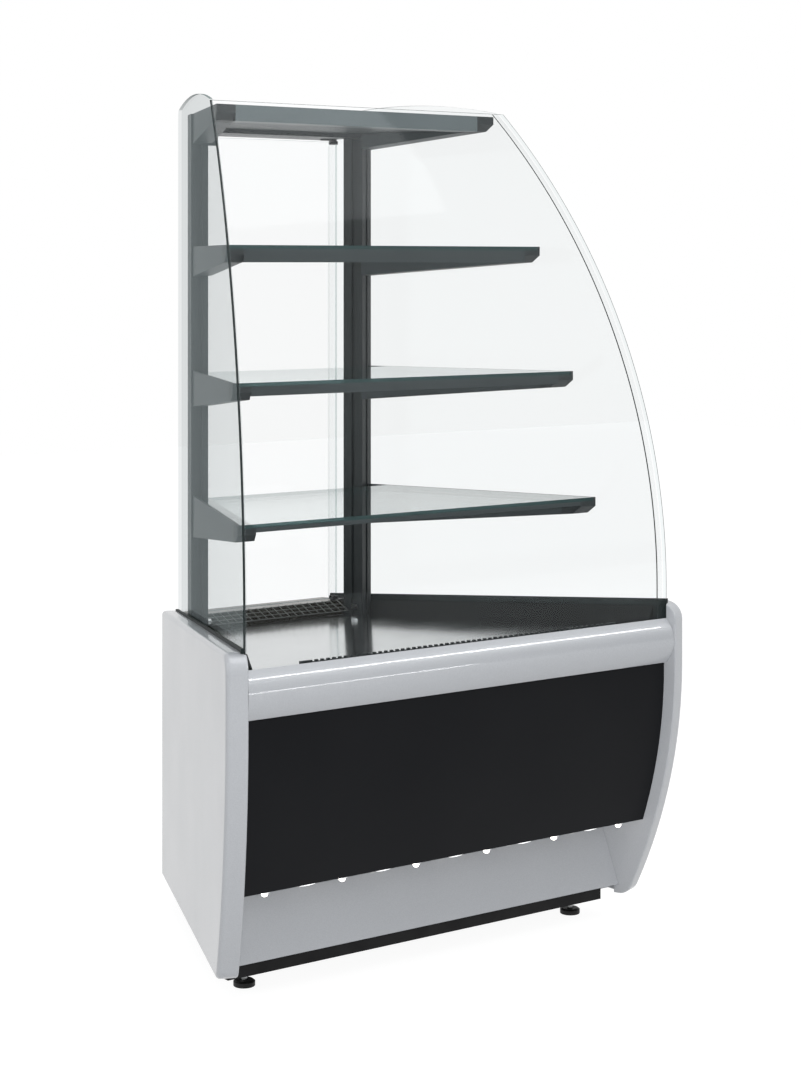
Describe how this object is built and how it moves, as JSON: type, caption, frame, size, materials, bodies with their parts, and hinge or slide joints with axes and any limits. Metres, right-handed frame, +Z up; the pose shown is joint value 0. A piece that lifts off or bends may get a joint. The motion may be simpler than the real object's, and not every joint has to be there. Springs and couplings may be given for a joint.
{
  "type": "ambient display case",
  "caption": "Ambient corner display case with a bent front glass, glass shelves on tapered arms, silver side panels, a lit dark front panel and levelling feet.",
  "frame": {"origin": "on the floor under the middle of the case's overall width and depth", "axes": "+Z up, the customer's front faces -Y, +X to the right seen from the front"},
  "size_m": [0.9244, 0.6666, 1.427],
  "materials": {
    "base_silver": "satin silver",
    "panel_black": "smooth black",
    "plinth_black": "black paint",
    "foot_black": "moulded black",
    "zinc": "zinc plated",
    "deck_metal": "polished, dark",
    "frame_grey": "dark grey coated",
    "cap_black": "moulded dark grey",
    "side_glass": "clear, slightly green",
    "front_glass": "clear",
    "shelf_glass": "clear",
    "seal_black": "matte",
    "grille_wire": "plated wire",
    "bright_metal": "polished",
    "pivot_black": "black oxide",
    "spot_body": "polished",
    "spot_lens": "lit",
    "box_plastic": "moulded black"
  },
  "bodies": {
    "case": {"side_panel_left": "base_silver", "side_panel_right": "base_silver", "bumper": "base_silver", "kick_plate": "base_silver", "front_panel": "panel_black", "plinth_tube_front": "plinth_black", "plinth_tube_left": "plinth_black", "plinth_tube_right": "plinth_black", "plinth_tube_rear": "plinth_black", "foot_lock_nuts": "zinc", "base_floor": "zinc", "rear_panel": "zinc", "deck_plate": "deck_metal", "rear_sill": "deck_metal", "post_left": "frame_grey", "post_right": "frame_grey", "canopy_arm_left": "frame_grey", "canopy_arm_right": "frame_grey", "canopy_front_beam": "frame_grey", "canopy_ceiling": "frame_grey", "canopy_roof": "frame_grey", "canopy_back_rail": "frame_grey", "shelf_arms_top": "frame_grey", "shelf_arms_middle": "frame_grey", "shelf_arms_lower": "frame_grey", "shelf_front_rails": "frame_grey", "riser_left": "frame_grey", "riser_right": "frame_grey", "deck_slot_strip": "frame_grey", "glass_channel": "frame_grey", "arm_end_caps": "cap_black", "rear_door_catch": "cap_black", "side_glass_left": "side_glass", "side_glass_right": "side_glass", "front_glass": "front_glass", "shelf_glass_top": "shelf_glass", "shelf_glass_middle": "shelf_glass", "shelf_glass_lower": "shelf_glass", "corner_seals": "seal_black", "rear_grille": "grille_wire", "post_cleats": "bright_metal", "rear_door_pivots": "pivot_black", "spot_housings": "spot_body", "spot_lenses": "spot_lens", "light_driver": "box_plastic", "mains_inlet": "box_plastic", "switch_bezel": "box_plastic"},
    "rear_door": {"rear_door_glass": "shelf_glass", "rear_door_patches": "pivot_black", "rear_door_handle": "bright_metal"},
    "light_switch": {"switch_rocker": "box_plastic"},
    "pad_front_right": {"foot_pad_front_right": "foot_black"},
    "stem_front_right": {"foot_stem_front_right": "zinc"},
    "pad_front_left": {"foot_pad_front_left": "foot_black"},
    "stem_front_left": {"foot_stem_front_left": "zinc"},
    "pad_rear_right": {"foot_pad_rear_right": "foot_black"},
    "stem_rear_right": {"foot_stem_rear_right": "zinc"},
    "pad_rear_left": {"foot_pad_rear_left": "foot_black"},
    "stem_rear_left": {"foot_stem_rear_left": "zinc"}
  },
  "joints": [
    {"name": "rear_door_hinge", "type": "hinge", "parent": "case", "child": "rear_door", "pos_m": [0.146, 0.28169, 0.94], "axis": [0, 0, -1], "range_deg": [0, 90]},
    {"name": "switch_rock", "type": "hinge", "parent": "case", "child": "light_switch", "pos_m": [0.01, 0.31869, 0.15], "axis": [-1, 0, 0], "range_deg": [0, 16]},
    {"name": "foot_front_right_travel", "type": "slide", "parent": "case", "child": "pad_front_right", "axis": [0, 0, -1], "range_m": [0, 0.015]},
    {"name": "foot_front_right_spin", "type": "hinge", "parent": "pad_front_right", "child": "stem_front_right", "pos_m": [0.33654, -0.16851, 0.03], "axis": [0, 0, -1], "range_deg": [0, 3600]},
    {"name": "foot_front_left_travel", "type": "slide", "parent": "case", "child": "pad_front_left", "axis": [0, 0, -1], "range_m": [0, 0.015]},
    {"name": "foot_front_left_spin", "type": "hinge", "parent": "pad_front_left", "child": "stem_front_left", "pos_m": [-0.33654, -0.16851, 0.03], "axis": [0, 0, -1], "range_deg": [0, 3600]},
    {"name": "foot_rear_right_travel", "type": "slide", "parent": "case", "child": "pad_rear_right", "axis": [0, 0, -1], "range_m": [0, 0.015]},
    {"name": "foot_rear_right_spin", "type": "hinge", "parent": "pad_rear_right", "child": "stem_rear_right", "pos_m": [0.15515, 0.2694, 0.03], "axis": [0, 0, -1], "range_deg": [0, 3600]},
    {"name": "foot_rear_left_travel", "type": "slide", "parent": "case", "child": "pad_rear_left", "axis": [0, 0, -1], "range_m": [0, 0.015]},
    {"name": "foot_rear_left_spin", "type": "hinge", "parent": "pad_rear_left", "child": "stem_rear_left", "pos_m": [-0.15515, 0.2694, 0.03], "axis": [0, 0, -1], "range_deg": [0, 3600]}
  ],
  "couplings": [
    {"joint": "foot_front_right_spin", "follows": "foot_front_right_travel", "rad_per_m": 4188.8},
    {"joint": "foot_front_left_spin", "follows": "foot_front_left_travel", "rad_per_m": 4188.8},
    {"joint": "foot_rear_right_spin", "follows": "foot_rear_right_travel", "rad_per_m": 4188.8},
    {"joint": "foot_rear_left_spin", "follows": "foot_rear_left_travel", "rad_per_m": 4188.8}
  ]
}
